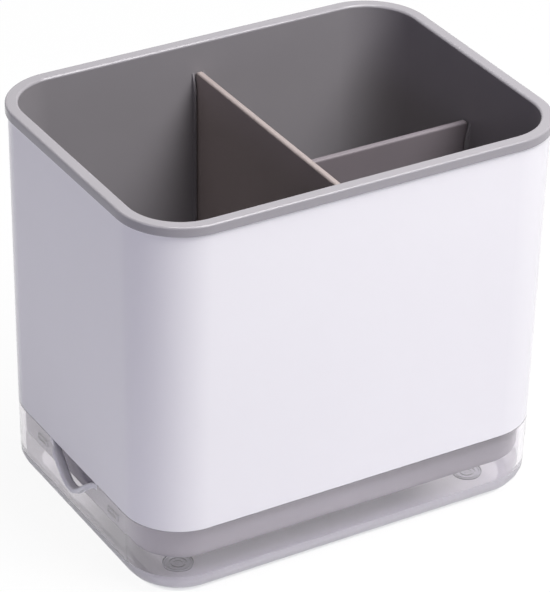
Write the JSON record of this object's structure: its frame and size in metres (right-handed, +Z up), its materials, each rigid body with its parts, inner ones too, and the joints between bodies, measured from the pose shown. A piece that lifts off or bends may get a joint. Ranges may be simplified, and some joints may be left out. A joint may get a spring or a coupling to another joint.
{
  "type": "kitchen sink organizer",
  "caption": "Kitchen sink organizer: white sleeve, grey lift-out bin with dividers, clear drip tray with a pour spout.",
  "frame": {"origin": "on the worktop, under the middle of the organizer, level with the undersides of the foot pads", "axes": "+X along the length, away from the pour spout; +Y to the back; +Z up"},
  "size_m": [0.17, 0.125, 0.151],
  "materials": {
    "sleeve_white": "gloss moulded ABS",
    "bin_grey": "satin moulded polypropylene",
    "tray_clear": "clear moulded polystyrene",
    "pad_silicone": "clear satin silicone"
  },
  "bodies": {
    "tray": {"drip_tray": "tray_clear", "foot_pad_front_left": "pad_silicone", "foot_pad_front_right": "pad_silicone", "foot_pad_back_left": "pad_silicone", "foot_pad_back_right": "pad_silicone"},
    "sleeve": {"outer_sleeve": "sleeve_white"},
    "bin": {"inner_bin": "bin_grey"},
    "main_divider": {"main_divider": "bin_grey"},
    "cross_divider": {"cross_divider": "bin_grey"}
  },
  "joints": [
    {"name": "sleeve_lift", "type": "slide", "parent": "tray", "child": "sleeve", "axis": [0, 0, 1], "range_m": [0, 0.04]},
    {"name": "bin_lift", "type": "slide", "parent": "sleeve", "child": "bin", "axis": [0, 0, 1], "range_m": [0, 0.14]},
    {"name": "main_divider_lift", "type": "slide", "parent": "bin", "child": "main_divider", "axis": [0, 0, 1], "range_m": [0, 0.14]},
    {"name": "cross_divider_lift", "type": "slide", "parent": "bin", "child": "cross_divider", "axis": [0, 0, 1], "range_m": [0, 0.14]}
  ]
}
